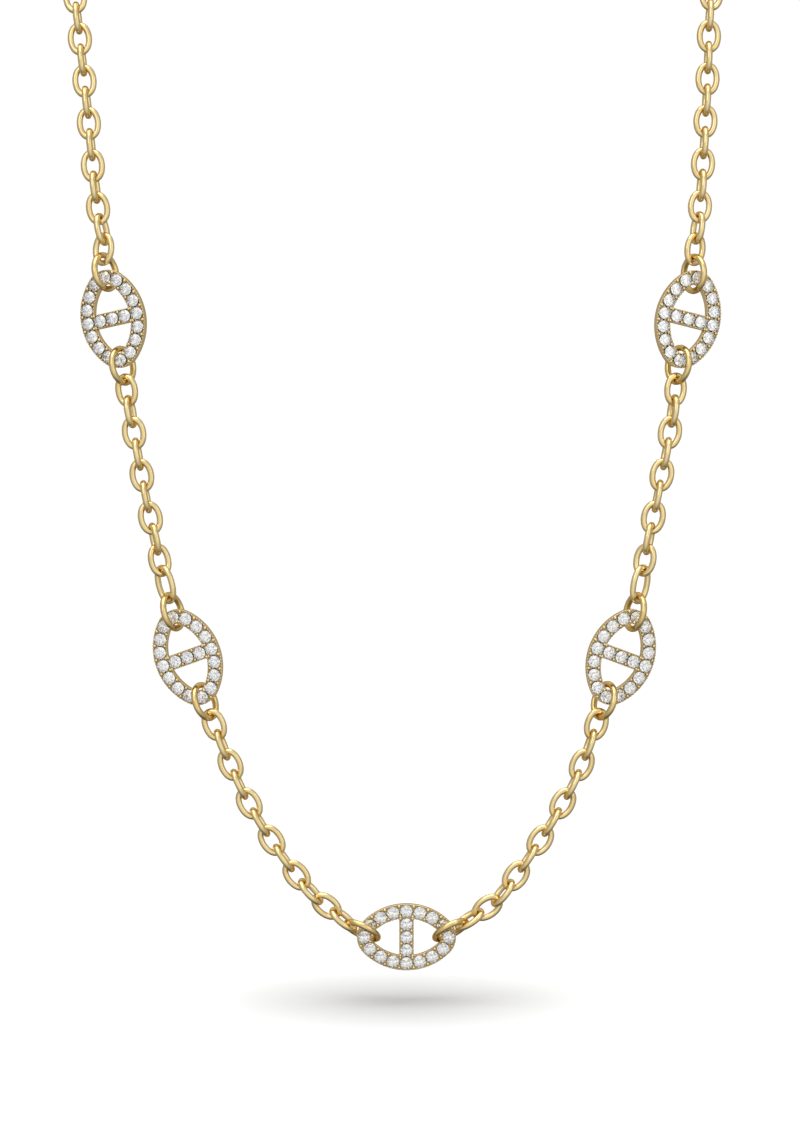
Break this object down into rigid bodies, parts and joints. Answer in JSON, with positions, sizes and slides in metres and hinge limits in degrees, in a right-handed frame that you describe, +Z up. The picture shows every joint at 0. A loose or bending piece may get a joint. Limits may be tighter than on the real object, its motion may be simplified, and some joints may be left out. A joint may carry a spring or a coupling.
{
  "type": "chain necklace",
  "caption": "Gold cable chain necklace with oval, cross-barred anchor-link stations set with round white cut stones, joined by round rings and closed at the nape by a plain barrel clasp.",
  "frame": {"origin": "centre of the neck opening, where the wearer's neck passes through", "axes": "+Z up along the neck, front of the necklace towards -Y, +X to the right of the picture"},
  "size_m": [0.0937, 0.0672, 0.1573],
  "materials": {
    "gold": "polished yellow gold",
    "stone": "clear white cut stone"
  },
  "bodies": {
    "root": {"middle_station_frame": "gold", "left_lower_station_frame": "gold", "left_upper_station_frame": "gold", "right_lower_station_frame": "gold", "right_upper_station_frame": "gold", "middle_station_stones": "stone", "left_lower_station_stones": "stone", "left_upper_station_stones": "stone", "right_lower_station_stones": "stone", "right_upper_station_stones": "stone", "left_middle_ring": "gold", "right_middle_ring": "gold", "left_lower_bottom_ring": "gold", "left_lower_top_ring": "gold", "left_upper_bottom_ring": "gold", "left_upper_top_ring": "gold", "right_lower_bottom_ring": "gold", "right_lower_top_ring": "gold", "right_upper_bottom_ring": "gold", "right_upper_top_ring": "gold", "left_lower_chain": "gold", "left_middle_chain": "gold", "left_upper_chain": "gold", "left_neck_chain": "gold", "right_lower_chain": "gold", "right_middle_chain": "gold", "right_upper_chain": "gold", "right_neck_chain": "gold", "clasp": "gold"}
  },
  "joints": []
}
